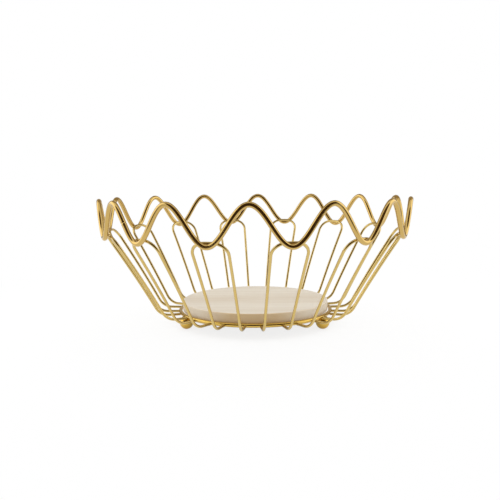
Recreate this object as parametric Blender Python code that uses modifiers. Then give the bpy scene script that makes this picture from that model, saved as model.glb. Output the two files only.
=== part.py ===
# Wire fruit basket: a wavy rim, a hoop under each dip of the rim, a base ring that runs through the tops
# of three ball feet, and a loose wooden plate that lies inside the ring on the shoulders of the balls.
# Metres, +Z up. The origin is on the table, below the middle of the basket.
# The front is at -Y. Places round the basket are angles from the front, positive towards +X.

import math

import bmesh
import bpy
from mathutils import Matrix

# Whole basket
BASKET_DIAMETER = 0.3005
BASKET_HEIGHT = 0.1228
WAVE_COUNT = 14

# Rim wire
RIM_WIRE_RADIUS = 0.00225
WAVE_HEIGHT = 0.0321
WAVE_LEAN = 0.0018
RIM_POINTS_PER_WAVE = 16

# Hoop wires
HOOP_WIRE_RADIUS = 0.00125
HOOP_TOP_RISE = 0.0027
HOOP_TOP_WIDTH = 0.0306
HOOP_FOOT_WIDTH = 0.0194
SHOULDER_RADIUS = 0.012
LEG_FLARE = 0.0037
LEG_BEND_RADIUS = 0.015
LEG_RUN_OUT = 0.0113
LEG_RUN_DROP = 0.0006
SHOULDER_STEPS = 5
FLARE_STEPS = 4
BEND_STEPS = 5

# Base ring
RING_WIRE_RADIUS = 0.0019
RING_RADIUS = 0.0738
RING_STEPS = 84
RING_SIDES = 8

# Wooden plate
PLATE_THICKNESS = 0.0095
PLATE_PLAY = 0.0004
PLATE_TOP_ROUND = 0.001
PLATE_BOTTOM_ROUND = 0.0015
PLATE_STEPS = 72
PLATE_ROUND_STEPS = 3

# Ball feet
FOOT_RADIUS = 0.0065
FOOT_FLAT_RADIUS = 0.0012
FOOT_SADDLE_DEPTH = 0.0030
FOOT_SEGMENTS = 20
FOOT_RINGS = 12
FOOT_PLACES = {"ball_foot_right": 60, "ball_foot_back": 180, "ball_foot_left": 300}

# Gap left where one piece is welded to, or lies on, another
SEAT_GAP = 0.0003

# Eight-sided wire
WIRE_BEVEL_RESOLUTION = 2

# Points closer than this are one point, on a turned profile and at a wire's caps
TURNING_MERGE = 0.00001

# Heights, worked out from the table upwards
foot_centre_height = math.sqrt(FOOT_RADIUS ** 2 - FOOT_FLAT_RADIUS ** 2)
ring_height = foot_centre_height + FOOT_RADIUS - FOOT_SADDLE_DEPTH + RING_WIRE_RADIUS
run_height = ring_height - LEG_RUN_DROP
plate_radius = RING_RADIUS - RING_WIRE_RADIUS - PLATE_PLAY

# The round of the plate's lower edge rests on the inner shoulders of the balls
seat_distance = FOOT_RADIUS + SEAT_GAP + PLATE_BOTTOM_ROUND
seat_inset = RING_RADIUS - plate_radius + PLATE_BOTTOM_ROUND
seat_rise = math.sqrt(seat_distance ** 2 - seat_inset ** 2)
plate_bottom = foot_centre_height + seat_rise - PLATE_BOTTOM_ROUND

# Rim, worked out from the outside of the basket
crest_radius = BASKET_DIAMETER / 2 - RIM_WIRE_RADIUS
crest_height = BASKET_HEIGHT - RIM_WIRE_RADIUS
trough_radius = crest_radius - WAVE_LEAN
trough_height = crest_height - WAVE_HEIGHT
wave_angle = math.tau / WAVE_COUNT

# Each hoop's top bar lies against the inner side of the rim
hoop_top_radius = trough_radius - RIM_WIRE_RADIUS - SEAT_GAP - HOOP_WIRE_RADIUS
hoop_top_height = trough_height + HOOP_TOP_RISE

# Each leg ends against the outer side of the ring
leg_inner_side = HOOP_FOOT_WIDTH / 2 - HOOP_WIRE_RADIUS
leg_end_radius = math.sqrt((RING_RADIUS + RING_WIRE_RADIUS) ** 2 - leg_inner_side ** 2) + SEAT_GAP


def clear_scene():
    for old in list(bpy.data.objects):
        bpy.data.objects.remove(old, do_unlink=True)


def new_collection(name):
    made = bpy.data.collections.new(name)
    bpy.context.scene.collection.children.link(made)
    return made


def plain_material(name, color, roughness, metallic):
    material = bpy.data.materials.new(name)
    material.use_nodes = True
    shader = material.node_tree.nodes["Principled BSDF"]
    shader.inputs["Base Color"].default_value = (*color, 1.0)
    shader.inputs["Roughness"].default_value = roughness
    shader.inputs["Metallic"].default_value = metallic
    return material


# A wire along a list of points, with capped ends unless it closes on itself
def wire_curve(name, points, radius, closed=False):
    curve = bpy.data.curves.new(name, "CURVE")
    curve.dimensions = "3D"
    spline = curve.splines.new("POLY")
    spline.points.add(len(points) - 1)
    for spot, point in zip(spline.points, points):
        spot.co = (*point, 1.0)
    spline.use_cyclic_u = closed
    spline.use_smooth = True
    curve.bevel_depth = radius
    curve.bevel_resolution = WIRE_BEVEL_RESOLUTION
    curve.use_fill_caps = not closed
    return curve


# The curve of one object as a closed mesh, for cutting with
def mesh_of_curve(name, curve):
    holder = bpy.data.objects.new(name, curve)
    cutters.objects.link(holder)
    depsgraph = bpy.context.evaluated_depsgraph_get()
    mesh = bpy.data.meshes.new_from_object(holder.evaluated_get(depsgraph))
    bpy.data.objects.remove(holder, do_unlink=True)
    shape = bmesh.new()
    shape.from_mesh(mesh)
    bmesh.ops.remove_doubles(shape, verts=shape.verts, dist=TURNING_MERGE)
    shape.to_mesh(mesh)
    shape.free()
    return mesh


def add_part(name, data, material):
    part = bpy.data.objects.new(name, data)
    data.materials.clear()
    data.materials.append(material)
    basket.objects.link(part)
    return part


def add_cutter(name, data):
    cutter = bpy.data.objects.new(name, data)
    cutter.hide_render = True
    cutter.display_type = "WIRE"
    cutters.objects.link(cutter)
    return cutter


def cut_from(part, cutter):
    cut = part.modifiers.new("cut by " + cutter.name, "BOOLEAN")
    cut.operation = "DIFFERENCE"
    cut.solver = "EXACT"
    cut.object = cutter


# The rim follows a plain cosine wave round the basket, further out at its crests
def rim_points():
    points = []
    steps = WAVE_COUNT * RIM_POINTS_PER_WAVE
    for step in range(steps):
        angle = math.tau * step / steps
        lift = (1 + math.cos(angle * WAVE_COUNT)) / 2
        radius = trough_radius + WAVE_LEAN * lift
        height = trough_height + WAVE_HEIGHT * lift
        points.append((radius * math.sin(angle), -radius * math.cos(angle), height))
    return points


# Half the distance between a hoop's two legs, at a distance from the basket's middle
def half_width(radius):
    share = (radius - RING_RADIUS) / (hoop_top_radius - RING_RADIUS)
    return (HOOP_FOOT_WIDTH + (HOOP_TOP_WIDTH - HOOP_FOOT_WIDTH) * share) / 2


# A leg seen from the side: a level run to the ring, a round bend and a slope that flares to the rim.
# Each point is a distance from the basket's middle and a height. The run ends at run_end.
def leg_profile(run_end):
    bend_centre_radius = RING_RADIUS + LEG_RUN_OUT
    bend_centre_height = run_height + LEG_BEND_RADIUS
    out = hoop_top_radius - LEG_FLARE - bend_centre_radius
    up = hoop_top_height - bend_centre_height
    straight = math.sqrt(out ** 2 + up ** 2 - LEG_BEND_RADIUS ** 2)
    slope = math.atan2(up, out) + math.atan2(LEG_BEND_RADIUS, straight)

    profile = [(run_end, run_height)]
    for step in range(BEND_STEPS + 1):
        turn = slope * step / BEND_STEPS
        radius = bend_centre_radius + LEG_BEND_RADIUS * math.sin(turn)
        height = bend_centre_height - LEG_BEND_RADIUS * math.cos(turn)
        profile.append((radius, height))
    foot_radius, foot_height = profile[-1]
    for step in range(1, FLARE_STEPS + 1):
        share = step / FLARE_STEPS
        radius = foot_radius + straight * share * math.cos(slope) + LEG_FLARE * share ** 2
        height = foot_height + straight * share * math.sin(slope)
        profile.append((radius, height))
    return profile


# One half of a hoop, from the inner end of its leg to the round shoulder beside its top bar.
# The hoop stands at the front, so its middle is at -Y.
def half_hoop_points(side, run_end):
    profile = leg_profile(run_end)
    top_radius, top_height = profile[-1]
    last_radius, last_height = profile[-2]
    last_length = math.hypot(top_radius - last_radius, top_height - last_height)
    out_per_length = (top_radius - last_radius) / last_length
    up_per_length = (top_height - last_height) / last_length

    points = []
    for radius, height in profile[:-1]:
        points.append((side * half_width(radius), -radius, height))
    for step in range(SHOULDER_STEPS + 1):
        turn = math.pi / 2 * step / SHOULDER_STEPS
        below_top = SHOULDER_RADIUS * (1 - math.sin(turn))
        drawn_in = SHOULDER_RADIUS * (1 - math.cos(turn))
        radius = top_radius - below_top * out_per_length
        height = top_height - below_top * up_per_length
        points.append((side * (half_width(radius) - drawn_in), -radius, height))
    return points


def hoop_points(run_end):
    return half_hoop_points(-1, run_end) + half_hoop_points(1, run_end)[::-1]


def make_rim():
    add_part("rim_wire", wire_curve("rim_wire", rim_points(), RIM_WIRE_RADIUS, closed=True), gold)


def make_hoops():
    curve = wire_curve("hoop", hoop_points(leg_end_radius), HOOP_WIRE_RADIUS)
    for number in range(WAVE_COUNT):
        hoop = add_part(f"hoop_{number + 1:02d}", curve, gold)
        hoop.rotation_euler.z = wave_angle * (number + 1 / 2)


def ring_mesh(name, wire_radius):
    bpy.ops.mesh.primitive_torus_add(
        major_radius=RING_RADIUS,
        minor_radius=wire_radius,
        major_segments=RING_STEPS,
        minor_segments=RING_SIDES,
    )
    made = bpy.context.object
    mesh = made.data
    mesh.name = name
    bpy.data.objects.remove(made, do_unlink=True)
    mesh.shade_smooth()
    return mesh


def make_base_ring():
    ring = add_part("base_ring", ring_mesh("base_ring", RING_WIRE_RADIUS), gold)
    ring.location.z = ring_height


# Half the plate's section, from the middle of the top over the rounded edges to the middle of the bottom
def plate_profile():
    points = [(0, PLATE_THICKNESS)]
    for step in range(PLATE_ROUND_STEPS + 1):
        turn = math.pi / 2 * step / PLATE_ROUND_STEPS
        out = plate_radius - PLATE_TOP_ROUND * (1 - math.sin(turn))
        up = PLATE_THICKNESS - PLATE_TOP_ROUND * (1 - math.cos(turn))
        points.append((out, up))
    for step in range(PLATE_ROUND_STEPS + 1):
        turn = math.pi / 2 * step / PLATE_ROUND_STEPS
        out = plate_radius - PLATE_BOTTOM_ROUND * (1 - math.cos(turn))
        up = PLATE_BOTTOM_ROUND * (1 - math.sin(turn))
        points.append((out, up))
    points.append((0, 0))
    return points


# The plate is turned about the basket's axis, which it slides along when it is lifted out
def make_plate():
    mesh = bpy.data.meshes.new("wood_plate")
    outline = [(out, 0, up) for out, up in plate_profile()]
    edges = [(index, index + 1) for index in range(len(outline) - 1)]
    mesh.from_pydata(outline, edges, [])
    plate = add_part("wood_plate", mesh, wood)
    plate.location.z = plate_bottom
    turning = plate.modifiers.new("turning", "SCREW")
    turning.steps = PLATE_STEPS
    turning.render_steps = PLATE_STEPS
    turning.use_merge_vertices = True
    turning.merge_threshold = TURNING_MERGE
    turning.use_smooth_shade = False


# Each ball has a saddle for the ring and for any leg beside it, and a small flat to stand on.
# The saddle for a leg runs on to the ring's, so that the leg's end stays clear of the ball.
def make_feet():
    ball = bmesh.new()
    bmesh.ops.create_uvsphere(ball, u_segments=FOOT_SEGMENTS, v_segments=FOOT_RINGS, radius=FOOT_RADIUS)
    table_size = FOOT_RADIUS * 2
    block = bmesh.new()
    bmesh.ops.create_cube(block, size=table_size, matrix=Matrix.Translation((0, 0, -table_size / 2)))
    fat_ring = add_cutter("ring_saddle", ring_mesh("ring_saddle", RING_WIRE_RADIUS + SEAT_GAP))
    fat_ring.location.z = ring_height
    fat_curve = wire_curve("fat_hoop", hoop_points(RING_RADIUS), HOOP_WIRE_RADIUS + SEAT_GAP)
    fat_hoop = mesh_of_curve("fat_hoop", fat_curve)

    for name, degrees in FOOT_PLACES.items():
        angle = math.radians(degrees)
        mesh = bpy.data.meshes.new(name)
        ball.to_mesh(mesh)
        mesh.shade_smooth()
        foot = add_part(name, mesh, gold)
        foot.location = (RING_RADIUS * math.sin(angle), -RING_RADIUS * math.cos(angle), foot_centre_height)

        table_mesh = bpy.data.meshes.new(name + "_table")
        block.to_mesh(table_mesh)
        table = add_cutter(name + "_table", table_mesh)
        table.location = (foot.location.x, foot.location.y, 0)
        cut_from(foot, table)
        cut_from(foot, fat_ring)
        nearest_crest = round(angle / wave_angle)
        for side in (-1, 1):
            leg_saddle = add_cutter(name + "_leg_saddle", fat_hoop)
            leg_saddle.rotation_euler.z = wave_angle * (nearest_crest + side / 2)
            cut_from(foot, leg_saddle)
    ball.free()
    block.free()


clear_scene()
basket = new_collection("wire_fruit_basket")
cutters = new_collection("cutters")
gold = plain_material("polished_gold", (0.83, 0.6, 0.22), 0.12, 1.0)
wood = plain_material("pale_wood", (0.76, 0.66, 0.52), 0.55, 0.0)
make_rim()
make_hoops()
make_base_ring()
make_plate()
make_feet()
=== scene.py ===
import math

import bmesh
import bpy
from mathutils import Matrix, Vector


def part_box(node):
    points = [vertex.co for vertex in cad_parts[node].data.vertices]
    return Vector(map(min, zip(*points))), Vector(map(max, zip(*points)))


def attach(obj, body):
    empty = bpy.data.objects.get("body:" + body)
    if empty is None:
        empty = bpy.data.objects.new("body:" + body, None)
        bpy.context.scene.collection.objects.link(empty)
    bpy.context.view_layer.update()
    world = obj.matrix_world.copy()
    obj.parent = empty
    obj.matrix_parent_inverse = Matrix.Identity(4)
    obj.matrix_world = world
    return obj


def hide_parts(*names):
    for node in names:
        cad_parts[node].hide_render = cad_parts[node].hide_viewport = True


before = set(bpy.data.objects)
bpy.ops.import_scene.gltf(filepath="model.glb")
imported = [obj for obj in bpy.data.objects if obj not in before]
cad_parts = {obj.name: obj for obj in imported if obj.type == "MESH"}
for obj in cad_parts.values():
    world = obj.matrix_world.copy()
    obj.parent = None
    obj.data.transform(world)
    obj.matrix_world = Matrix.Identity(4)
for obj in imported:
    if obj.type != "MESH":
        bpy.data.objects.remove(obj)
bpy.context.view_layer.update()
print("frame loaded, nodes:", len(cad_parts))

# Lengths are in metres. Angles round the basket start at the front, -Y, and grow towards +X.
millimetre = 0.001
tubeMerge = 0.002 * millimetre  # points of a wire nearer than this become one
turnedMerge = 0.001 * millimetre  # the same for a turned shape
waveCount = sum(name.startswith("hoop_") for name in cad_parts)
waveAngle = math.tau / waveCount


# Small helpers for building node trees

def addNode(tree, kind, values=None, **settings):
    node = tree.nodes.new(kind)
    for name, value in settings.items():
        setattr(node, name, value)
    for place, value in (values or {}).items():  # after the settings, because those can change the sockets
        if isinstance(value, bpy.types.NodeSocket):
            tree.links.new(value, node.inputs[place])
        else:
            node.inputs[place].default_value = value
    return node


def calc(tree, operation, *values):
    node = addNode(tree, "ShaderNodeMath", dict(enumerate(values)), operation=operation)
    return node.outputs[0]


def mixColors(tree, share, first, second):
    return addNode(tree, "ShaderNodeMix", {0: share, 6: first, 7: second}, data_type="RGBA").outputs[2]


# 1 at distance zero, falling like a bell to nothing at about twice the width
def bell(tree, distance, width):
    share = calc(tree, "DIVIDE", distance, width)
    squared = calc(tree, "MULTIPLY", share, share)
    return calc(tree, "EXPONENT", calc(tree, "MULTIPLY", squared, -1.0))


def newTree(name, kind, inputs, outputs):
    tree = bpy.data.node_groups.new(name, kind)
    for label, (socketType, value) in inputs.items():
        socket = tree.interface.new_socket(label, in_out="INPUT", socket_type="NodeSocket" + socketType)
        if value is not None:
            socket.default_value = value
    for label, socketType in outputs.items():
        tree.interface.new_socket(label, in_out="OUTPUT", socket_type="NodeSocket" + socketType)
    given = tree.nodes.new("NodeGroupInput").outputs
    result = tree.nodes.new("NodeGroupOutput").inputs
    return tree, given, result


def newShapeTree(name, inputs):
    everyInput = {"Geometry": ("Geometry", None)}
    everyInput.update(inputs)
    return newTree(name, "GeometryNodeTree", everyInput, {"Geometry": "Geometry"})


def shapeWith(target, tree, values):
    modifier = target.modifiers.new(tree.name, "NODES")
    modifier.node_group = tree
    for item in tree.interface.items_tree:
        if item.in_out == "INPUT" and item.name in values:
            modifier[item.identifier] = values[item.name]


def newObject(name, data):
    made = bpy.data.objects.new(name, data)
    bpy.context.scene.collection.objects.link(made)
    return made


def pointsMesh(name, points, edges=()):
    mesh = bpy.data.meshes.new(name)
    mesh.from_pydata(points, list(edges), [])
    return mesh


# The object with its trees becomes one plain mesh piece that rides on a body
def finishPiece(name, shaped, body, nodes=()):
    depsgraph = bpy.context.evaluated_depsgraph_get()
    mesh = bpy.data.meshes.new_from_object(shaped.evaluated_get(depsgraph))
    mesh.name = name
    bpy.data.objects.remove(shaped, do_unlink=True)
    piece = newObject(name, mesh)
    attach(piece, body)
    if nodes:
        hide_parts(*nodes)
    print(name, "done, faces:", len(mesh.polygons))
    return piece


# Camera, at the photo's height and a little to the right of the front crest
camera = {
    "turn": math.radians(1.564),
    "rise": math.radians(7.291),
    "distance": 0.5923,
    "middle": Vector((0, 0, 0.06135)),
    "aim": Vector((-0.00478, 0, 0.07031)),
    "roll": math.radians(-0.53),
    "lens": 43.05,
    "sensor": 36.0,
    "nearest": 0.01,
}


def makeCamera():
    level = math.cos(camera["rise"])
    away = Vector((math.sin(camera["turn"]) * level,
                   -math.cos(camera["turn"]) * level,
                   math.sin(camera["rise"])))
    place = camera["middle"] + away * camera["distance"]
    ahead = (camera["aim"] - place).normalized()
    right = ahead.cross(Vector((0, 0, 1))).normalized()
    up = right.cross(ahead)
    turnedRight = right * math.cos(camera["roll"]) + up * math.sin(camera["roll"])
    turnedUp = up * math.cos(camera["roll"]) - right * math.sin(camera["roll"])
    data = bpy.data.cameras.new("camera")
    data.sensor_width = camera["sensor"]
    data.lens = camera["lens"]
    data.clip_start = camera["nearest"]
    made = newObject("camera", data)
    turning = Matrix((turnedRight, turnedUp, -ahead)).transposed().to_4x4()
    made.matrix_world = Matrix.Translation(place) @ turning
    bpy.context.scene.camera = made


makeCamera()


# Gold finish, shared by the wires, the feet and the welds
gold = {
    "coat": 0.45,
    "coatRoughness": 0.04,
    "patchScale": 38.0,
    "patchRange": (0.42, 0.68),
    "patchMost": 0.55,
    "markScale": 1.6,
    "markAcross": 5.0,
    "markAlong": 45.0,
    "markRoughness": 0.05,
    "hazeScale": 210.0,
    "hazeRange": (0.5, 0.75),
    "pitScale": 900.0,
    "pitWidth": 0.22,
    "pitDepth": 0.35,
    "heatRoughness": 0.12,
    "heatTint": (0.4, 0.19, 0.04, 1),
    "bumpStrength": 0.3,
}

# What differs from piece to piece, as inputs of the shared finish
goldKinds = {
    "goldRim": {"Plating": (0.60, 0.405, 0.12, 1), "Thin Plating": (0.55, 0.36, 0.1, 1),
                "Polish": 0.045, "Haze": 0.04},
    "goldHoop": {"Plating": (0.65, 0.475, 0.16, 1), "Thin Plating": (0.60, 0.43, 0.13, 1),
                 "Polish": 0.12, "Haze": 0.06},
    "goldRing": {"Plating": (0.69, 0.455, 0.09, 1), "Thin Plating": (0.64, 0.41, 0.07, 1),
                 "Polish": 0.06, "Haze": 0.08},
    "goldBall": {"Plating": (0.70, 0.45, 0.075, 1), "Thin Plating": (0.65, 0.41, 0.06, 1),
                 "Polish": 0.05, "Haze": 0.05},
    "goldWeld": {"Plating": (0.63, 0.44, 0.1, 1), "Thin Plating": (0.58, 0.39, 0.08, 1),
                 "Polish": 0.16, "Haze": 0.15},
}


def makeGoldFinish():
    tree, given, result = newTree("goldFinish", "ShaderNodeTree", {
        "Plating": ("Color", (0.63, 0.44, 0.1, 1)),
        "Thin Plating": ("Color", (0.58, 0.39, 0.08, 1)),
        "Polish": ("Float", 0.08),
        "Haze": ("Float", 0.1),
        "Heat": ("Float", 0.0),
        "Heat Tint": ("Color", gold["heatTint"]),
        "Across": ("Vector", (0, 0, 0)),
        "Along": ("Float", 0.0),
    }, {"Color": "Color", "Roughness": "Float", "Height": "Float"})
    place = addNode(tree, "ShaderNodeTexCoord").outputs["Object"]

    # Thicker and thinner plating, in patches a few centimetres long
    patches = addNode(tree, "ShaderNodeTexNoise", {
        "Vector": place, "Scale": gold["patchScale"], "Detail": 3.0})
    start, end = gold["patchRange"]
    thin = addNode(tree, "ShaderNodeMapRange", {
        0: patches.outputs["Fac"], 1: start, 2: end, 3: 0.0, 4: gold["patchMost"]})
    color = mixColors(tree, thin.outputs[0], given["Plating"], given["Thin Plating"])
    tree.links.new(mixColors(tree, given["Heat"], color, given["Heat Tint"]), result["Color"])

    # Marks that the drawing die left along the wire
    stretched = addNode(tree, "ShaderNodeVectorMath", {0: given["Across"], 1: [gold["markAcross"]] * 3},
                        operation="MULTIPLY")
    lengthwise = calc(tree, "MULTIPLY", given["Along"], gold["markAlong"])
    slow = addNode(tree, "ShaderNodeCombineXYZ", {2: lengthwise})
    markPlace = addNode(tree, "ShaderNodeVectorMath", {0: stretched.outputs[0], 1: slow.outputs[0]},
                        operation="ADD")
    marks = addNode(tree, "ShaderNodeTexNoise", {
        "Vector": markPlace.outputs[0], "Scale": gold["markScale"], "Detail": 4.0})

    # Handling haze and fine pits
    haze = addNode(tree, "ShaderNodeTexNoise", {
        "Vector": place, "Scale": gold["hazeScale"], "Detail": 4.0, "Roughness": 0.6})
    start, end = gold["hazeRange"]
    hazeMask = addNode(tree, "ShaderNodeMapRange", {0: haze.outputs["Fac"], 1: start, 2: end, 3: 0.0, 4: 1.0})
    pits = addNode(tree, "ShaderNodeTexVoronoi", {"Vector": place, "Scale": gold["pitScale"]})
    pitMask = addNode(tree, "ShaderNodeMapRange", {
        0: pits.outputs["Distance"], 1: 0.0, 2: gold["pitWidth"], 3: 1.0, 4: 0.0})
    dull = calc(tree, "MULTIPLY", hazeMask.outputs[0], given["Haze"])
    rough = calc(tree, "MULTIPLY_ADD", marks.outputs["Fac"], gold["markRoughness"], given["Polish"])
    rough = calc(tree, "ADD", rough, dull)
    rough = calc(tree, "MULTIPLY_ADD", given["Heat"], gold["heatRoughness"], rough)
    tree.links.new(rough, result["Roughness"])
    height = calc(tree, "MULTIPLY_ADD", pitMask.outputs[0], -gold["pitDepth"], marks.outputs["Fac"])
    tree.links.new(height, result["Height"])
    return tree


goldFinish = makeGoldFinish()


def makeGold(name, bumpDepth):
    material = bpy.data.materials.new(name)
    material.use_nodes = True
    tree = material.node_tree
    shader = tree.nodes["Principled BSDF"]
    shader.inputs["Metallic"].default_value = 1.0
    shader.inputs["Coat Weight"].default_value = gold["coat"]
    shader.inputs["Coat Roughness"].default_value = gold["coatRoughness"]
    finish = addNode(tree, "ShaderNodeGroup", goldKinds[name], node_tree=goldFinish)
    for label, output in (("Across", "Vector"), ("Along", "Fac"), ("Heat", "Fac")):
        source = addNode(tree, "ShaderNodeAttribute", attribute_name=label.lower())
        tree.links.new(source.outputs[output], finish.inputs[label])
    bump = addNode(tree, "ShaderNodeBump", {
        "Height": finish.outputs["Height"], "Strength": gold["bumpStrength"], "Distance": bumpDepth})
    tree.links.new(finish.outputs["Color"], shader.inputs["Base Color"])
    tree.links.new(finish.outputs["Roughness"], shader.inputs["Roughness"])
    tree.links.new(bump.outputs[0], shader.inputs["Normal"])
    return material


goldRim = makeGold("goldRim", 0.004 * millimetre)
goldHoop = makeGold("goldHoop", 0.004 * millimetre)
goldRing = makeGold("goldRing", 0.01 * millimetre)
goldBall = makeGold("goldBall", 0.008 * millimetre)
goldWeld = makeGold("goldWeld", 0.06 * millimetre)
print("gold finishes done")


# Wire bent round the basket in waves, closed by a butt weld. With no waves it is a plain ring.
def makeRoundWireTree():
    tree, given, result = newShapeTree("roundWire", {
        "Crest Radius": ("Float", 0.148),
        "Crest Height": ("Float", 0.119),
        "Wave Height": ("Float", 0.03),
        "Wave Lean": ("Float", 0.003),
        "Waves": ("Int", 14),
        "Wire Radius": ("Float", 0.0015),
        "Steps": ("Int", 1344),
        "Sides": ("Int", 20),
        "Seam Angle": ("Float", 0.0),
        "Seam Crowding": ("Float", 0.7),
        "Seam Bead": ("Float", 0.06),
        "Seam Bead Width": ("Float", 0.0015),
        "Seam Groove": ("Float", 0.15),
        "Seam Groove Width": ("Float", 0.0005),
        "Wire Material": ("Material", None),
    })
    start = addNode(tree, "GeometryNodeCurvePrimitiveCircle", {"Resolution": given["Steps"], "Radius": 1.0})
    index = addNode(tree, "GeometryNodeInputIndex").outputs[0]
    share = calc(tree, "DIVIDE", index, given["Steps"])
    around = calc(tree, "MULTIPLY", share, math.tau)

    # Points stand closer together at the seam
    pull = calc(tree, "MULTIPLY", calc(tree, "SINE", around), given["Seam Crowding"])
    crowded = calc(tree, "SUBTRACT", around, pull)
    angle = calc(tree, "ADD", crowded, given["Seam Angle"])
    wave = calc(tree, "COSINE", calc(tree, "MULTIPLY", angle, given["Waves"]))
    lift = calc(tree, "MULTIPLY_ADD", wave, 0.5, 0.5)
    below = calc(tree, "SUBTRACT", 1.0, lift)
    leanedIn = calc(tree, "MULTIPLY", below, given["Wave Lean"])
    dipped = calc(tree, "MULTIPLY", below, given["Wave Height"])
    radius = calc(tree, "SUBTRACT", given["Crest Radius"], leanedIn)
    height = calc(tree, "SUBTRACT", given["Crest Height"], dipped)
    right = calc(tree, "MULTIPLY", radius, calc(tree, "SINE", angle))
    back = calc(tree, "MULTIPLY", radius, calc(tree, "MULTIPLY", calc(tree, "COSINE", angle), -1.0))
    place = addNode(tree, "ShaderNodeCombineXYZ", {0: right, 1: back, 2: height}).outputs[0]
    bent = addNode(tree, "GeometryNodeSetPosition", {"Geometry": start.outputs["Curve"], "Position": place})
    upright = addNode(tree, "GeometryNodeSetCurveNormal", {0: bent.outputs[0]}, mode="Z_UP")

    # The weld is a low bead with a groove in its middle
    length = addNode(tree, "GeometryNodeSplineParameter").outputs["Length"]
    total = addNode(tree, "GeometryNodeSplineLength").outputs["Length"]
    fromSeam = calc(tree, "MINIMUM", length, calc(tree, "SUBTRACT", total, length))
    bead = calc(tree, "MULTIPLY", bell(tree, fromSeam, given["Seam Bead Width"]), given["Seam Bead"])
    groove = calc(tree, "MULTIPLY", bell(tree, fromSeam, given["Seam Groove Width"]), given["Seam Groove"])
    thickness = calc(tree, "SUBTRACT", calc(tree, "ADD", bead, 1.0), groove)
    measured = addNode(tree, "GeometryNodeStoreNamedAttribute", {
        "Geometry": upright.outputs[0], "Name": "along", "Value": length}, data_type="FLOAT", domain="POINT")
    tube(tree, given, result, measured.outputs[0], thickness, False)
    return tree


# Runs the round section along a path and keeps each point's place on that section for the materials
def tube(tree, given, result, path, thickness, capped):
    section = addNode(tree, "GeometryNodeCurvePrimitiveCircle", {"Resolution": given["Sides"], "Radius": 1.0})
    onSection = addNode(tree, "GeometryNodeInputPosition").outputs[0]
    marked = addNode(tree, "GeometryNodeStoreNamedAttribute", {
        "Geometry": section.outputs["Curve"], "Name": "across", "Value": onSection},
        data_type="FLOAT_VECTOR", domain="POINT")
    scale = calc(tree, "MULTIPLY", thickness, given["Wire Radius"])
    skin = addNode(tree, "GeometryNodeCurveToMesh", {
        "Curve": path, "Profile Curve": marked.outputs[0], "Scale": scale, "Fill Caps": capped})
    joined = addNode(tree, "GeometryNodeMergeByDistance", {
        "Geometry": skin.outputs[0], "Distance": tubeMerge})
    finishTree(tree, result, joined.outputs[0], given["Wire Material"])


def finishTree(tree, result, shape, material):
    real = addNode(tree, "GeometryNodeRealizeInstances", {"Geometry": shape})
    smooth = addNode(tree, "GeometryNodeSetShadeSmooth", {"Geometry": real.outputs[0], "Shade Smooth": True})
    finished = addNode(tree, "GeometryNodeSetMaterial", {"Geometry": smooth.outputs[0], "Material": material})
    tree.links.new(finished.outputs[0], result["Geometry"])


# Copies of a shape turned about the basket's axis
def makeCopiesTree():
    tree, given, result = newShapeTree("copiesRound", {
        "Copies": ("Int", 14),
        "First Angle": ("Float", 0.0),
        "Copy Material": ("Material", None),
    })
    index = addNode(tree, "GeometryNodeInputIndex").outputs[0]
    step = calc(tree, "DIVIDE", math.tau, given["Copies"])
    angle = calc(tree, "MULTIPLY_ADD", index, step, given["First Angle"])
    spots = addNode(tree, "GeometryNodePoints", {"Count": given["Copies"], "Position": (0, 0, 0)})
    turn = addNode(tree, "ShaderNodeCombineXYZ", {2: angle}).outputs[0]
    rotation = addNode(tree, "FunctionNodeEulerToRotation", {0: turn}).outputs[0]
    copies = addNode(tree, "GeometryNodeInstanceOnPoints", {
        "Points": spots.outputs[0], "Instance": given["Geometry"], "Rotation": rotation})
    finishTree(tree, result, copies.outputs[0], given["Copy Material"])
    return tree


# Wire along a path that is open at both ends, which are filed round
def makeOpenWireTree():
    tree, given, result = newShapeTree("openWire", {
        "Wire Radius": ("Float", 0.001),
        "End Round": ("Float", 0.0004),
        "Sides": ("Int", 16),
        "Wire Material": ("Material", None),
    })
    path = addNode(tree, "GeometryNodeMeshToCurve", {0: given["Geometry"]})
    length = addNode(tree, "GeometryNodeSplineParameter").outputs["Length"]
    total = addNode(tree, "GeometryNodeSplineLength").outputs["Length"]
    fromEnd = calc(tree, "MINIMUM", length, calc(tree, "SUBTRACT", total, length))
    reached = calc(tree, "MINIMUM", calc(tree, "DIVIDE", fromEnd, given["End Round"]), 1.0)
    short = calc(tree, "SUBTRACT", 1.0, reached)
    roundOff = calc(tree, "SQRT", calc(tree, "SUBTRACT", 1.0, calc(tree, "MULTIPLY", short, short)))
    slim = calc(tree, "DIVIDE", given["End Round"], given["Wire Radius"])
    filed = calc(tree, "MULTIPLY", calc(tree, "SUBTRACT", 1.0, roundOff), slim)
    thickness = calc(tree, "SUBTRACT", 1.0, filed)
    measured = addNode(tree, "GeometryNodeStoreNamedAttribute", {
        "Geometry": path.outputs[0], "Name": "along", "Value": length}, data_type="FLOAT", domain="POINT")
    tube(tree, given, result, measured.outputs[0], thickness, True)
    return tree


# Stores how near each point of a wire lies to a weld, from 0 to 1
def makeHeatTree():
    tree, given, result = newShapeTree("weldHeat", {
        "Weld Spots": ("Object", None),
        "Reach": ("Float", 0.004),
    })
    spots = addNode(tree, "GeometryNodeObjectInfo", {"Object": given["Weld Spots"]},
                    transform_space="ORIGINAL")
    near = addNode(tree, "GeometryNodeProximity", {0: spots.outputs["Geometry"]}, target_element="POINTS")
    heat = bell(tree, near.outputs["Distance"], given["Reach"])
    stored = addNode(tree, "GeometryNodeStoreNamedAttribute", {
        "Geometry": given["Geometry"], "Name": "heat", "Value": heat}, data_type="FLOAT", domain="POINT")
    tree.links.new(stored.outputs[0], result["Geometry"])
    return tree


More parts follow.
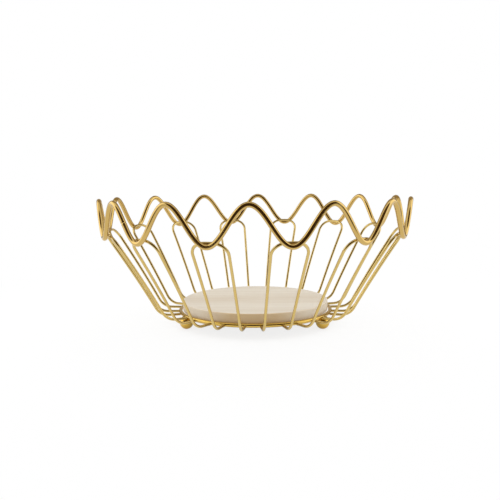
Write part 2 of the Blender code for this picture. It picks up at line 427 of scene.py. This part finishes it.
# Small beads on the weld spots, each turned with the basket and a little different
def makeBeadTree():
    tree, given, result = newShapeTree("weldBeads", {
        "Half Sizes": ("Vector", (0.001, 0.001, 0.001)),
        "Unevenness": ("Float", 0.18),
        "Lumps": ("Float", 0.0001),
        "Lump Scale": ("Float", 700.0),
        "Segments": ("Int", 14),
        "Rings": ("Int", 9),
        "Seed": ("Int", 3),
        "Bead Material": ("Material", None),
    })
    ball = addNode(tree, "GeometryNodeMeshUVSphere", {
        "Segments": given["Segments"], "Rings": given["Rings"], "Radius": 1.0})
    place = addNode(tree, "GeometryNodeInputPosition").outputs[0]
    apart = addNode(tree, "ShaderNodeSeparateXYZ", {0: place}).outputs
    angle = calc(tree, "ARCTAN2", apart[0], calc(tree, "MULTIPLY", apart[1], -1.0))
    turn = addNode(tree, "ShaderNodeCombineXYZ", {2: angle}).outputs[0]
    rotation = addNode(tree, "FunctionNodeEulerToRotation", {0: turn}).outputs[0]
    least = calc(tree, "SUBTRACT", 1.0, given["Unevenness"])
    most = calc(tree, "ADD", 1.0, given["Unevenness"])
    draw = addNode(tree, "FunctionNodeRandomValue", data_type="FLOAT_VECTOR")
    tree.links.new(least, draw.inputs[0])
    tree.links.new(most, draw.inputs[1])
    tree.links.new(given["Seed"], draw.inputs["Seed"])
    size = addNode(tree, "ShaderNodeVectorMath", {0: given["Half Sizes"], 1: draw.outputs[0]},
                   operation="MULTIPLY").outputs[0]
    beads = addNode(tree, "GeometryNodeInstanceOnPoints", {
        "Points": given["Geometry"], "Instance": ball.outputs["Mesh"], "Rotation": rotation, "Scale": size})
    real = addNode(tree, "GeometryNodeRealizeInstances", {"Geometry": beads.outputs[0]})
    lumps = addNode(tree, "ShaderNodeTexNoise", {
        "Vector": place, "Scale": given["Lump Scale"], "Detail": 1.0})
    centred = addNode(tree, "ShaderNodeVectorMath", {0: lumps.outputs["Color"], 1: (0.5, 0.5, 0.5)},
                      operation="SUBTRACT").outputs[0]
    shift = addNode(tree, "ShaderNodeVectorMath", {0: centred, "Scale": given["Lumps"]},
                    operation="SCALE").outputs[0]
    uneven = addNode(tree, "GeometryNodeSetPosition", {"Geometry": real.outputs[0], "Offset": shift})
    finishTree(tree, result, uneven.outputs[0], given["Bead Material"])
    return tree


roundWireTree = makeRoundWireTree()
openWireTree = makeOpenWireTree()
copiesTree = makeCopiesTree()
heatTree = makeHeatTree()
beadTree = makeBeadTree()
print("shape trees done")


# Rim: one wire in waves, further out at its crests
rim = {
    "wireRadius": 0.00225,
    "lean": 0.0018,
    "steps": waveCount * 96,
    "sides": 24,
    "seamAngle": math.radians(-45),
}
rimLow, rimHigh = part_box("rim_wire")
rim["crestRadius"] = -rimLow.y - rim["wireRadius"]
rim["crestHeight"] = rimHigh.z - rim["wireRadius"]
rim["troughHeight"] = rimLow.z + rim["wireRadius"]
rim["troughRadius"] = rim["crestRadius"] - rim["lean"]


# Base ring: one plain round wire
ring = {
    "wireRadius": 0.0019,
    "steps": 360,
    "sides": 20,
    "seamAngle": math.radians(166),
}
ringLow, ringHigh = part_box("base_ring")
ring["radius"] = ringHigh.x - ring["wireRadius"]
ring["height"] = (ringLow.z + ringHigh.z) / 2


# Hoops: each a top bar, two round shoulders, two legs with a bend, and two level ends against the ring
hoop = {
    "wireRadius": 0.00125,
    "topWidth": 0.0306,
    "footWidth": 0.0194,
    "shoulderRadius": 0.012,
    "flare": 0.0037,
    "bendRadius": 0.015,
    "runOut": 0.0113,
    "runDrop": 0.0006,
    "topRise": 0.0027,
    "seatGap": 0.0003,
    "endRound": 0.0004,
    "endSteps": 4,
    "runSteps": 6,
    "bendSteps": 14,
    "legSteps": 16,
    "shoulderSteps": 12,
    "barSteps": 4,
    "sides": 16,
}
hoop["topRadius"] = rim["troughRadius"] - rim["wireRadius"] - hoop["seatGap"] - hoop["wireRadius"]
hoop["topHeight"] = rim["troughHeight"] + hoop["topRise"]
hoop["runHeight"] = ring["height"] - hoop["runDrop"]
ring["outside"] = ring["radius"] + ring["wireRadius"]
hoop["endRadius"] = hoop["seatGap"] + math.sqrt(
    ring["outside"] ** 2 - (hoop["footWidth"] / 2 - hoop["wireRadius"]) ** 2)


# Half the distance between the two legs
def halfWidth(radius):
    share = (radius - ring["radius"]) / (hoop["topRadius"] - ring["radius"])
    return (hoop["footWidth"] + (hoop["topWidth"] - hoop["footWidth"]) * share) / 2


# The leg from the side, as distances from the basket's middle and heights
def legSide():
    bendRadius = hoop["bendRadius"]
    centreOut = ring["radius"] + hoop["runOut"]
    centreUp = hoop["runHeight"] + bendRadius
    out = hoop["topRadius"] - hoop["flare"] - centreOut
    up = hoop["topHeight"] - centreUp
    straight = math.sqrt(out ** 2 + up ** 2 - bendRadius ** 2)
    slope = math.atan2(up, out) + math.atan2(bendRadius, straight)
    side = []
    for step in range(hoop["endSteps"]):
        share = (step / hoop["endSteps"]) ** 2  # closer together at the filed end
        side.append((hoop["endRadius"] + hoop["endRound"] * share, hoop["runHeight"]))
    inner = hoop["endRadius"] + hoop["endRound"]
    for step in range(hoop["runSteps"]):
        side.append((inner + (centreOut - inner) * step / hoop["runSteps"], hoop["runHeight"]))
    for step in range(hoop["bendSteps"] + 1):
        turn = slope * step / hoop["bendSteps"]
        side.append((centreOut + bendRadius * math.sin(turn), centreUp - bendRadius * math.cos(turn)))
    footOut, footUp = side[-1]
    for step in range(1, hoop["legSteps"] + 1):
        share = step / hoop["legSteps"]
        legOut = footOut + straight * share * math.cos(slope) + hoop["flare"] * share ** 2
        side.append((legOut, footUp + straight * share * math.sin(slope)))
    return side


# One half of the hoop at the front, from the inner end of its leg to the middle of its top bar
def halfHoop(sign):
    side = legSide()
    topOut, topUp = side[-1]
    nextOut, nextUp = side[-2]
    lastLength = math.hypot(topOut - nextOut, topUp - nextUp)
    lean = (topOut - nextOut) / lastLength
    climb = (topUp - nextUp) / lastLength
    shoulderFoot = topUp - hoop["shoulderRadius"] * climb
    points = [Vector((sign * halfWidth(out), -out, up)) for out, up in side if up < shoulderFoot]
    for step in range(hoop["shoulderSteps"] + 1):
        turn = math.pi / 2 * step / hoop["shoulderSteps"]
        below = hoop["shoulderRadius"] * (1 - math.sin(turn))
        drawnIn = hoop["shoulderRadius"] * (1 - math.cos(turn))
        out = topOut - below * lean
        points.append(Vector((sign * (halfWidth(out) - drawnIn), -out, topUp - below * climb)))
    barEnd = points[-1].x
    for step in range(1, hoop["barSteps"]):
        points.append(Vector((barEnd * (1 - step / hoop["barSteps"]), -topOut, topUp)))
    return points


def hoopPath():
    middle = Vector((0, -hoop["topRadius"], hoop["topHeight"]))
    return halfHoop(-1) + [middle] + halfHoop(1)[::-1]


# Welds: where the hoops' legs end against the ring, and where their top bars meet the rim
weld = {
    "legHalfSizes": (0.00135, 0.0007, 0.00135),
    "legSeed": 5,
    "rimHalfSizes": (0.0022, 0.0014, 0.0007),
    "rimSeed": 8,
    "rimOffset": 0.0053,
    "rimDrop": 0.0003,
    "lumps": 0.0002,
    "heatReach": 0.0045,
}


def turned(point, angle):
    return Matrix.Rotation(angle, 3, "Z") @ Vector(point)


def legWeldSpots():
    halfApart = halfWidth(hoop["endRadius"])
    out = hoop["endRadius"] - hoop["seatGap"]
    up = hoop["runHeight"]
    spots = []
    for number in range(waveCount):
        for sign in (-1, 1):
            spots.append(turned((sign * halfApart, -out, up), waveAngle * (number + 0.5)))
    return spots


def rimWeldSpots():
    out = hoop["topRadius"] + hoop["wireRadius"] + hoop["seatGap"] / 2
    spots = []
    for number in range(waveCount):
        for sign in (-1, 1):
            spot = (sign * weld["rimOffset"], -out, hoop["topHeight"] - weld["rimDrop"])
            spots.append(turned(spot, waveAngle * (number + 0.5)))
    return spots


heatSpots = newObject("heatSpots", pointsMesh("heatSpots", legWeldSpots() + rimWeldSpots()))
heatValues = {"Weld Spots": heatSpots, "Reach": weld["heatReach"]}


def makeRim():
    shaped = newObject("rimShape", pointsMesh("rimShape", []))
    shapeWith(shaped, roundWireTree, {
        "Crest Radius": rim["crestRadius"],
        "Crest Height": rim["crestHeight"],
        "Wave Height": rim["crestHeight"] - rim["troughHeight"],
        "Wave Lean": rim["lean"],
        "Waves": waveCount,
        "Wire Radius": rim["wireRadius"],
        "Steps": rim["steps"],
        "Sides": rim["sides"],
        "Seam Angle": rim["seamAngle"],
        "Wire Material": goldRim,
    })
    shapeWith(shaped, heatTree, heatValues)
    finishPiece("rimWire", shaped, "frame", ["rim_wire"])


def makeBaseRing():
    shaped = newObject("ringShape", pointsMesh("ringShape", []))
    shapeWith(shaped, roundWireTree, {
        "Crest Radius": ring["radius"],
        "Crest Height": ring["height"],
        "Waves": 0,
        "Wire Radius": ring["wireRadius"],
        "Steps": ring["steps"],
        "Sides": ring["sides"],
        "Seam Angle": ring["seamAngle"],
        "Wire Material": goldRing,
    })
    shapeWith(shaped, heatTree, heatValues)
    finishPiece("baseRing", shaped, "frame", ["base_ring"])


def makeHoops():
    path = hoopPath()
    edges = [(number, number + 1) for number in range(len(path) - 1)]
    shaped = newObject("hoopShape", pointsMesh("hoopShape", path, edges))
    shapeWith(shaped, openWireTree, {
        "Wire Radius": hoop["wireRadius"],
        "End Round": hoop["endRound"],
        "Sides": hoop["sides"],
        "Wire Material": goldHoop,
    })
    shapeWith(shaped, copiesTree, {
        "Copies": waveCount, "First Angle": waveAngle / 2, "Copy Material": goldHoop})
    shapeWith(shaped, heatTree, heatValues)
    nodes = [f"hoop_{number + 1:02d}" for number in range(waveCount)]
    finishPiece("hoopWires", shaped, "frame", nodes)


def makeWelds(name, spots, halfSizes, seed):
    shaped = newObject(name + "Shape", pointsMesh(name + "Shape", spots))
    shapeWith(shaped, beadTree, {"Half Sizes": halfSizes, "Lumps": weld["lumps"], "Seed": seed,
                                 "Bead Material": goldWeld})
    shapeWith(shaped, heatTree, heatValues)
    finishPiece(name, shaped, "frame")


makeRim()
makeBaseRing()
makeHoops()
makeWelds("legWelds", legWeldSpots(), weld["legHalfSizes"], weld["legSeed"])
makeWelds("rimWelds", rimWeldSpots(), weld["rimHalfSizes"], weld["rimSeed"])


# A shape turned about the Z axis from a profile of distances and heights, closed at both ends of the profile
def turnedMesh(name, profile, steps):
    mesh = bpy.data.meshes.new(name)
    shape = bmesh.new()
    corners = [shape.verts.new((out, 0, up)) for out, up in profile]
    edges = [shape.edges.new(pair) for pair in zip(corners, corners[1:])]
    bmesh.ops.spin(shape, geom=corners + edges, cent=(0, 0, 0), axis=(0, 0, 1), angle=math.tau, steps=steps)
    bmesh.ops.remove_doubles(shape, verts=shape.verts, dist=turnedMerge)
    bmesh.ops.recalc_face_normals(shape, faces=shape.faces)
    shape.to_mesh(mesh)
    shape.free()
    mesh.shade_smooth()
    return mesh


# Feet: a ball with a small flat below, brazed onto the ring that runs through its top
foot = {
    "radius": 0.0065,
    "flatRadius": 0.0012,
    "steps": 40,
    "ballSteps": 26,
    "nodes": ["ball_foot_right", "ball_foot_back", "ball_foot_left"],
    "firstAngle": math.radians(60),
}
foot["height"] = math.sqrt(foot["radius"] ** 2 - foot["flatRadius"] ** 2)


def footProfile():
    lowest = -math.acos(foot["flatRadius"] / foot["radius"])
    profile = [(0, 0)]
    for step in range(foot["ballSteps"] + 1):
        rise = lowest + (math.pi / 2 - lowest) * step / foot["ballSteps"]
        profile.append((foot["radius"] * math.cos(rise), foot["height"] + foot["radius"] * math.sin(rise)))
    return profile


def makeFeet():
    mesh = turnedMesh("footShape", footProfile(), foot["steps"])
    mesh.transform(Matrix.Translation((0, -ring["radius"], 0)))
    shaped = newObject("footShape", mesh)
    shapeWith(shaped, copiesTree, {"Copies": len(foot["nodes"]), "First Angle": foot["firstAngle"],
                                   "Copy Material": goldBall})
    finishPiece("ballFeet", shaped, "frame", foot["nodes"])


makeFeet()


# Plate: a round board with soft edges, cut from a panel whose grain runs along X
plate = {
    "topRound": 0.001,
    "bottomRound": 0.0009,
    "roundSteps": 6,
    "steps": 144,
}
plateLow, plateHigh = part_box("wood_plate")
plate["radius"] = (plateHigh.y - plateLow.y) / 2
plate["bottom"] = plateLow.z
plate["top"] = plateHigh.z


# Wood of the plate: broad and fine streaks and a pale face. The tan of the cut edge is painted shade with a
# painted reflection of the gold ring, and the edge grows paler towards its two ends along X as painted side
# light
wood = {
    "swayScale": 9.0,
    "sway": 0.012,
    "broadStretch": (2.2, 60.0, 60.0),
    "fineStretch": (14.0, 520.0, 520.0),
    "fineShare": 0.35,
    "fineRange": (0.3, 0.7),
    "toneRange": (0.36, 0.62),
    "darkFace": (0.69, 0.60, 0.48, 1),
    "paleFace": (0.78, 0.715, 0.61, 1),
    # Painted shade with a painted reflection of the gold ring on the cut edge, then painted side light
    # towards the edge's ends along X
    "darkCutPaintedShade": (0.70, 0.50, 0.27, 1),
    "paleCutPaintedShade": (0.79, 0.59, 0.35, 1),
    "paintedSideLight": (0.90, 0.79, 0.63, 1),
    "paintedSideLightRange": (0.28, 0.7),
    "roughnessRange": (0.62, 0.5),
    "bumpStrength": 0.4,
    "bumpDepth": 0.05 * millimetre,
}


def makeWood():
    material = bpy.data.materials.new("paleWood")
    material.use_nodes = True
    tree = material.node_tree
    shader = tree.nodes["Principled BSDF"]
    place = addNode(tree, "ShaderNodeTexCoord").outputs["Object"]

    # Streaks run along X and are far finer across it
    wavy = addNode(tree, "ShaderNodeTexNoise", {"Vector": place, "Scale": wood["swayScale"], "Detail": 1.0})
    sway = addNode(tree, "ShaderNodeVectorMath", {0: wavy.outputs["Color"], "Scale": wood["sway"]},
                   operation="SCALE")
    bent = addNode(tree, "ShaderNodeVectorMath", {0: place, 1: sway.outputs[0]}, operation="ADD").outputs[0]
    longPlace = addNode(tree, "ShaderNodeMapping", {"Vector": bent, "Scale": wood["broadStretch"]})
    broad = addNode(tree, "ShaderNodeTexNoise", {"Vector": longPlace.outputs[0], "Scale": 1.0, "Detail": 3.0})
    finePlace = addNode(tree, "ShaderNodeMapping", {"Vector": bent, "Scale": wood["fineStretch"]})
    fine = addNode(tree, "ShaderNodeTexNoise", {
        "Vector": finePlace.outputs[0], "Scale": 1.0, "Detail": 4.0, "Roughness": 0.65})
    broadTone = calc(tree, "MULTIPLY", broad.outputs["Fac"], 1.0 - wood["fineShare"])
    tone = calc(tree, "MULTIPLY_ADD", fine.outputs["Fac"], wood["fineShare"], broadTone)
    start, end = wood["toneRange"]
    ramp = addNode(tree, "ShaderNodeMapRange", {0: tone, 1: start, 2: end, 3: 0.0, 4: 1.0}).outputs[0]
    face = mixColors(tree, ramp, wood["darkFace"], wood["paleFace"])

    # The cut edge gets painted shade and a painted reflection of the gold ring in tan, with the grain's
    # streaks, and painted side light, paler, towards its two ends along X
    apart = addNode(tree, "ShaderNodeSeparateXYZ", {0: place}).outputs
    flat = addNode(tree, "ShaderNodeCombineXYZ", {0: apart[0], 1: apart[1]}).outputs[0]
    out = addNode(tree, "ShaderNodeVectorMath", {0: flat}, operation="LENGTH").outputs["Value"]
    edge = addNode(tree, "ShaderNodeMapRange", {
        0: out, 1: plate["radius"] - plate["topRound"], 2: plate["radius"] - plate["topRound"] / 4,
        3: 0.0, 4: 1.0})
    along = calc(tree, "DIVIDE", calc(tree, "ABSOLUTE", apart[0]), plate["radius"])
    start, end = wood["paintedSideLightRange"]
    sideLightMask = addNode(tree, "ShaderNodeMapRange", {0: along, 1: start, 2: end, 3: 0.0, 4: 1.0})
    cut = mixColors(tree, ramp, wood["darkCutPaintedShade"], wood["paleCutPaintedShade"])
    side = mixColors(tree, sideLightMask.outputs[0], cut, wood["paintedSideLight"])
    tree.links.new(mixColors(tree, edge.outputs[0], face, side), shader.inputs["Base Color"])

    # The fine streaks are a little smoother and stand a little proud
    start, end = wood["fineRange"]
    roughest, smoothest = wood["roughnessRange"]
    rough = addNode(tree, "ShaderNodeMapRange", {
        0: fine.outputs["Fac"], 1: start, 2: end, 3: roughest, 4: smoothest})
    tree.links.new(rough.outputs[0], shader.inputs["Roughness"])
    bump = addNode(tree, "ShaderNodeBump", {
        "Height": fine.outputs["Fac"], "Strength": wood["bumpStrength"], "Distance": wood["bumpDepth"]})
    tree.links.new(bump.outputs[0], shader.inputs["Normal"])
    return material


def plateProfile():
    profile = [(0, plate["top"])]
    for step in range(plate["roundSteps"] + 1):
        turn = math.pi / 2 * step / plate["roundSteps"]
        out = plate["radius"] - plate["topRound"] * (1 - math.sin(turn))
        profile.append((out, plate["top"] - plate["topRound"] * (1 - math.cos(turn))))
    for step in range(plate["roundSteps"] + 1):
        turn = math.pi / 2 * step / plate["roundSteps"]
        out = plate["radius"] - plate["bottomRound"] * (1 - math.cos(turn))
        profile.append((out, plate["bottom"] + plate["bottomRound"] * (1 - math.sin(turn))))
    profile.append((0, plate["bottom"]))
    return profile


def makePlate():
    shaped = newObject("plateShape", turnedMesh("plateShape", plateProfile(), plate["steps"]))
    shaped.data.materials.append(makeWood())
    finishPiece("woodPlate", shaped, "plate", ["wood_plate"])


makePlate()
bpy.data.objects.remove(heatSpots, do_unlink=True)


# Studio: a pale floor, a white surround, soft lamps, and brown and tan cards that show only in reflections.
# A lamp that isn't mirrored lights the basket but shows in no reflection.
studio = {
    "floorRadius": 4.0,
    "floorSides": 96,
    "floorRoughness": 0.9,
    "floorColor": (1.0, 1.0, 1.0, 1),
    "bounceColor": (0.8, 0.8, 0.8, 1),
    "fadeStart": 0.17,
    "fadeEnd": 0.42,
    "shadeShare": 0.18,
    "underStart": 0.075,
    "underEnd": 0.12,
    "underShare": 0.72,
    "surround": 0.6,
    "target": Vector((0, 0, 0.06)),
    "lamps": {
        "topLamp": {"turn": 180, "rise": 76, "distance": 1.28, "size": (1.9, 1.4), "watts": 9.2,
                    "mirrored": False},
        "leftLamp": {"turn": -95, "rise": 25, "distance": 1.25, "size": (1.15, 1.15), "watts": 2.8,
                     "mirrored": True},
        "rightLamp": {"turn": 95, "rise": 25, "distance": 1.25, "size": (1.15, 1.15), "watts": 2.5,
                      "mirrored": True},
    },
    "cards": {
        "frontCard": {"turn": 8, "rise": 14, "distance": 1.1, "size": (3.4, 2.2), "soft": 0.15,
                      "color": (0.065, 0.037, 0.019, 1)},
        "overheadCard": {"turn": 2, "rise": 46, "distance": 1.2, "size": (2.9, 1.0), "soft": 0.3,
                         "color": (0.13, 0.08, 0.044, 1)},
        "lowCard": {"turn": 6, "rise": -4.05, "distance": 0.825, "size": (1.1, 1.2), "soft": 0.12,
                    "flat": True, "color": (0.07, 0.042, 0.026, 1)},
        "backCard": {"turn": 180, "rise": 12, "distance": 1.5, "size": (4.4, 2.6), "soft": 0.2,
                     "color": (0.6, 0.53, 0.43, 1)},
        "highCard": {"turn": 180, "rise": 60, "distance": 1.3, "size": (3.2, 1.3), "soft": 0.3,
                     "color": (0.58, 0.49, 0.36, 1)},
    },
}


# 1 for a ray from the camera, and for one that a gloss or glass surface sends on
def seenRay(tree):
    path = addNode(tree, "ShaderNodeLightPath").outputs
    seen = calc(tree, "ADD", path["Is Camera Ray"], path["Is Glossy Ray"])
    both = calc(tree, "ADD", seen, path["Is Transmission Ray"])
    return calc(tree, "MINIMUM", both, 1.0)


def makeFloor():
    mesh = bpy.data.meshes.new("floor")
    shape = bmesh.new()
    bmesh.ops.create_circle(shape, cap_ends=True, segments=studio["floorSides"], radius=studio["floorRadius"])
    shape.to_mesh(mesh)
    shape.free()
    floor = newObject("floor", mesh)
    material = bpy.data.materials.new("paleFloor")
    material.use_nodes = True
    tree = material.node_tree
    shader = tree.nodes["Principled BSDF"]
    shader.inputs["Roughness"].default_value = studio["floorRoughness"]
    shader.inputs["Specular IOR Level"].default_value = 0.0
    color = mixColors(tree, seenRay(tree), studio["bounceColor"], studio["floorColor"])
    tree.links.new(color, shader.inputs["Base Color"])
    white = addNode(tree, "ShaderNodeEmission", {"Color": (1, 1, 1, 1), "Strength": 1.0})
    place = addNode(tree, "ShaderNodeTexCoord").outputs["Object"]
    away = addNode(tree, "ShaderNodeVectorMath", {0: place}, operation="LENGTH").outputs["Value"]

    # The camera sees a faint shadow, and the metal mirrors the darker floor below the plate
    fade = addNode(tree, "ShaderNodeMapRange", {
        0: away, 1: studio["fadeStart"], 2: studio["fadeEnd"], 3: 1.0 - studio["shadeShare"], 4: 1.0},
        interpolation_type="SMOOTHSTEP")
    under = addNode(tree, "ShaderNodeMapRange", {
        0: away, 1: studio["underStart"], 2: studio["underEnd"], 3: 1.0 - studio["underShare"], 4: 1.0},
        interpolation_type="SMOOTHSTEP")
    path = addNode(tree, "ShaderNodeLightPath").outputs
    mirrored = calc(tree, "ADD", path["Is Glossy Ray"], path["Is Transmission Ray"])
    direct = calc(tree, "MULTIPLY", fade.outputs[0], path["Is Camera Ray"])
    both = calc(tree, "MULTIPLY_ADD", under.outputs[0], mirrored, direct)
    share = calc(tree, "MINIMUM", both, 1.0)
    surface = addNode(tree, "ShaderNodeMixShader", {0: share, 1: shader.outputs[0], 2: white.outputs[0]})
    tree.links.new(surface.outputs[0], tree.nodes["Material Output"].inputs["Surface"])
    mesh.materials.append(material)


def makeSurround():
    world = bpy.data.worlds.new("surround")
    bpy.context.scene.world = world
    world.use_nodes = True
    tree = world.node_tree
    light = tree.nodes["Background"]
    light.inputs["Color"].default_value = (1, 1, 1, 1)
    light.inputs["Strength"].default_value = studio["surround"]
    white = addNode(tree, "ShaderNodeBackground", {"Color": (1, 1, 1, 1), "Strength": 1.0})
    both = addNode(tree, "ShaderNodeMixShader", {0: seenRay(tree), 1: light.outputs[0], 2: white.outputs[0]})
    tree.links.new(both.outputs[0], tree.nodes["World Output"].inputs["Surface"])


# Puts a lamp or a card where its turn, rise and distance say, facing the basket
def aimed(made, values):
    turn = math.radians(values["turn"])
    rise = math.radians(values["rise"])
    level = math.cos(rise)
    away = Vector((math.sin(turn) * level, -math.cos(turn) * level, math.sin(rise)))
    made.location = studio["target"] + away * values["distance"]
    if not values.get("flat"):
        made.rotation_euler = away.to_track_quat("Z", "Y").to_euler()


def makeLamp(name, values):
    data = bpy.data.lights.new(name, "AREA")
    data.shape = "RECTANGLE"
    data.size, data.size_y = values["size"]
    data.energy = values["watts"]
    lamp = newObject(name, data)
    aimed(lamp, values)
    lamp.visible_glossy = values["mirrored"]


# A card fades out towards its edges, so its reflection has a soft outline
def makeCard(name, values):
    wide, high = values["size"]
    mesh = bpy.data.meshes.new(name)
    shape = bmesh.new()
    bmesh.ops.create_grid(shape, x_segments=1, y_segments=1, size=0.5,
                          matrix=Matrix.Diagonal((wide, high, 1, 1)))
    shape.to_mesh(mesh)
    shape.free()
    card = newObject(name, mesh)
    aimed(card, values)
    material = bpy.data.materials.new(name)
    material.use_nodes = True
    tree = material.node_tree
    shader = tree.nodes["Principled BSDF"]
    shader.inputs["Base Color"].default_value = values["color"]
    shader.inputs["Roughness"].default_value = 1.0
    shader.inputs["Specular IOR Level"].default_value = 0.0
    place = addNode(tree, "ShaderNodeTexCoord").outputs["Object"]
    even = addNode(tree, "ShaderNodeVectorMath", {0: place, 1: (2 / wide, 2 / high, 0)}, operation="MULTIPLY")
    apart = addNode(tree, "ShaderNodeSeparateXYZ", {0: even.outputs[0]}).outputs
    solid = 1.0
    for side in (0, 1):
        fromMiddle = calc(tree, "ABSOLUTE", apart[side])
        fade = addNode(tree, "ShaderNodeMapRange", {
            0: fromMiddle, 1: 1.0 - values["soft"], 2: 1.0, 3: 1.0, 4: 0.0}, interpolation_type="SMOOTHSTEP")
        solid = calc(tree, "MULTIPLY", fade.outputs[0], solid)
    tree.links.new(solid, shader.inputs["Alpha"])
    mesh.materials.append(material)
    card.visible_camera = False
    card.visible_shadow = False
    card.visible_diffuse = False


makeFloor()
makeSurround()
for lampName, lampValues in studio["lamps"].items():
    makeLamp(lampName, lampValues)
for cardName, cardValues in studio["cards"].items():
    makeCard(cardName, cardValues)

scene = bpy.context.scene
scene.view_settings.view_transform = "Standard"
print("studio done")
